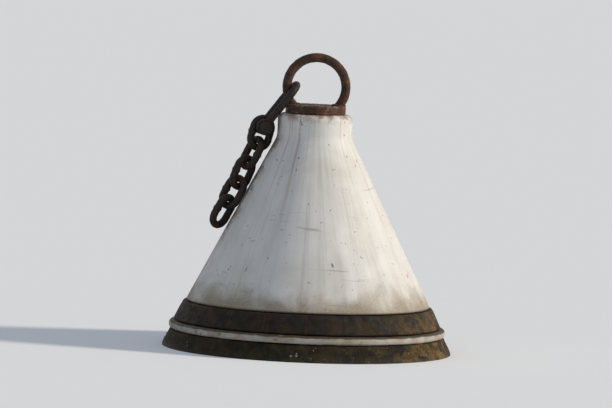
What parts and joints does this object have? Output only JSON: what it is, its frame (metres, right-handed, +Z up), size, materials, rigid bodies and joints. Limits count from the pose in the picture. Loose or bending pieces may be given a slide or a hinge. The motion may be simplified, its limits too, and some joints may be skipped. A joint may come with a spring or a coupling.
{
  "type": "conical mooring buoy",
  "caption": "Conical surface mooring buoy with a steel ring on its cap, a shackled chain on its flank, a waterline rim with rubber band, a through rod and a swivel eye below.",
  "frame": {"origin": "on the buoy's axis at the waterline", "axes": "+Z up along the buoy's axis, X in the ring's plane with the chain on its minus side, -Y towards the viewer"},
  "size_m": [0.6039, 0.604, 1.0375],
  "materials": {
    "hull_white": "weathered off-white moulded plastic with grime and rust runs",
    "hull_wet": "moulded plastic under brown and green growth at and below the waterline",
    "rim_pale": "worn pale plastic, rubbed clean on its edge",
    "band_rubber": "dull black rubber with dried brown growth",
    "galvanised": "old galvanising with rust coming through",
    "ring_steel": "rusty round bar, rubbed brown inside the bend",
    "chain_iron": "nearly black, pitted and rusty iron"
  },
  "bodies": {
    "buoy": {"hull_top": "hull_white", "hull_bottom": "hull_wet", "rim": "rim_pale", "rubber_band": "band_rubber", "cap_plate": "galvanised", "mooring_ring": "ring_steel", "rod": "galvanised", "base_plate": "galvanised", "lock_nut": "galvanised", "keeper_nut": "galvanised"},
    "swivel": {"swivel_eye": "galvanised"},
    "shackle": {"shackle_bow": "chain_iron", "shackle_pin": "chain_iron", "shackle_nut": "chain_iron"},
    "link_1": {"chain_link_1": "chain_iron"},
    "link_2": {"chain_link_2": "chain_iron"},
    "link_3": {"chain_link_3": "chain_iron"},
    "link_4": {"chain_link_4": "chain_iron"},
    "link_5": {"chain_link_5": "chain_iron"}
  },
  "joints": [
    {"name": "swivel_turn", "type": "hinge", "parent": "buoy", "child": "swivel", "pos_m": [0, 0, -0.3125], "axis": [0, 0, 1], "continuous": true},
    {"name": "shackle_lift", "type": "hinge", "parent": "buoy", "child": "shackle", "pos_m": [-0.05797, 0, 0.527], "axis": [-0.1736, 0.9848, 0], "range_deg": [0, 40]},
    {"name": "link_1_lift", "type": "hinge", "parent": "shackle", "child": "link_1", "pos_m": [-0.10794, -0.00881, 0.46018], "axis": [-0.1736, 0.9848, 0], "range_deg": [0, 100]},
    {"name": "link_2_lift", "type": "hinge", "parent": "link_1", "child": "link_2", "pos_m": [-0.11468, -0.01, 0.43272], "axis": [-0.5209, 0.8358, 0.1735], "range_deg": [0, 20]},
    {"name": "link_3_lift", "type": "hinge", "parent": "link_2", "child": "link_3", "pos_m": [-0.14072, -0.01459, 0.37664], "axis": [-0.5209, 0.8358, 0.1735], "range_deg": [0, 20]},
    {"name": "link_4_lift", "type": "hinge", "parent": "link_3", "child": "link_4", "pos_m": [-0.15081, -0.01637, 0.35026], "axis": [-0.7209, 0.6275, 0.2941], "range_deg": [0, 20]},
    {"name": "link_5_lift", "type": "hinge", "parent": "link_4", "child": "link_5", "pos_m": [-0.17765, -0.0211, 0.29457], "axis": [-0.7209, 0.6275, 0.2941], "range_deg": [0, 20]}
  ]
}
